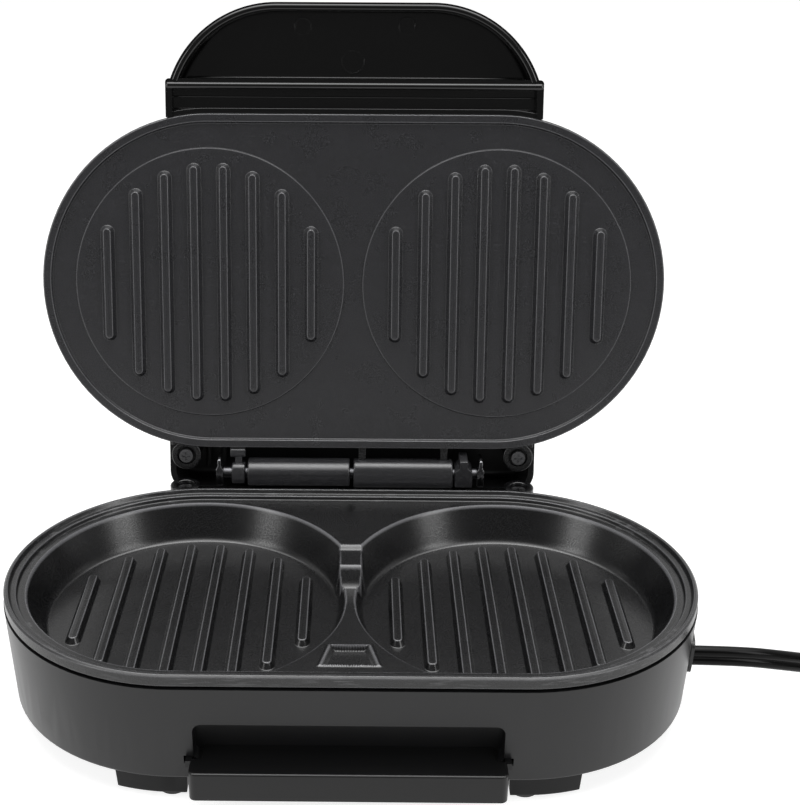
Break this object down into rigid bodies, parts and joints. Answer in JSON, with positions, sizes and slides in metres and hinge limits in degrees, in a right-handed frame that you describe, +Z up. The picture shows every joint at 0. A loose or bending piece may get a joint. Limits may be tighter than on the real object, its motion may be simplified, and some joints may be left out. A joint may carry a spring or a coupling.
{
  "type": "breakfast sandwich maker",
  "caption": "Countertop breakfast sandwich maker: ribbed grill plates with two round wells in a long rounded housing, hinged lid standing open, handle, feet and a flat cord.",
  "frame": {"origin": "on the table, under the middle of the open machine's length and depth", "axes": "+X to the user's right, along the hinge; +Y away from the user; +Z up"},
  "size_m": [0.4302, 0.2061, 0.2339],
  "materials": {
    "plate": "cast, with a dark non-stick coating",
    "housing": "dark grey, satin",
    "dark_plastic": "black, fine texture",
    "pad": "soft feet pads",
    "steel": "plain or dark zinc-plated steel",
    "element": "sheathed heating element",
    "reflector": "bright sheet",
    "phenolic": "phenolic",
    "lead": "silicone-covered leads",
    "fuse": "sleeved thermal fuse",
    "red_lens": "clear red",
    "green_lens": "clear green",
    "lamp": "neon lamps",
    "gland": "black grommet",
    "cord": "black flat two-core cord",
    "plug": "black moulded plug with metal blades"
  },
  "bodies": {
    "base": {"lower_grill_plate": "plate", "hinge_pin": "steel", "pin_cap_left": "steel", "pin_cap_right": "steel", "base_shell": "housing", "base_grip": "housing", "bottom_cover": "dark_plastic", "foot_front_left": "dark_plastic", "foot_front_right": "dark_plastic", "foot_rear_left": "dark_plastic", "foot_rear_right": "dark_plastic", "foot_pad_front_left": "pad", "foot_pad_front_right": "pad", "foot_pad_rear_left": "pad", "foot_pad_rear_right": "pad", "lower_plate_screws": "steel", "foot_screws": "steel", "lower_heating_element": "element", "lower_element_clips": "steel", "lower_reflector": "reflector", "lower_reflector_screws": "steel", "thermostat": "steel", "lower_thermal_fuse": "fuse", "terminal_block": "phenolic", "base_leads": "lead", "cord_gland": "gland", "strain_relief": "dark_plastic", "power_cord": "cord", "cord_coil": "cord", "cord_tie": "dark_plastic", "plug": "plug"},
    "lid": {"upper_grill_plate": "plate", "lid_shell": "housing", "lid_handle": "dark_plastic", "handle_screws": "steel", "upper_plate_screws": "steel", "upper_heating_element": "element", "upper_element_clips": "steel", "upper_reflector": "reflector", "upper_reflector_screws": "steel", "upper_thermal_fuse": "fuse", "lid_leads": "lead", "power_lens": "red_lens", "ready_lens": "green_lens", "lamp_bracket": "dark_plastic", "neon_lamps": "lamp"}
  },
  "joints": [
    {"name": "lid_hinge", "type": "hinge", "parent": "base", "child": "lid", "pos_m": [0, 0.04934, 0.0517], "axis": [1, 0, 0], "range_deg": [0, 101.9]}
  ]
}
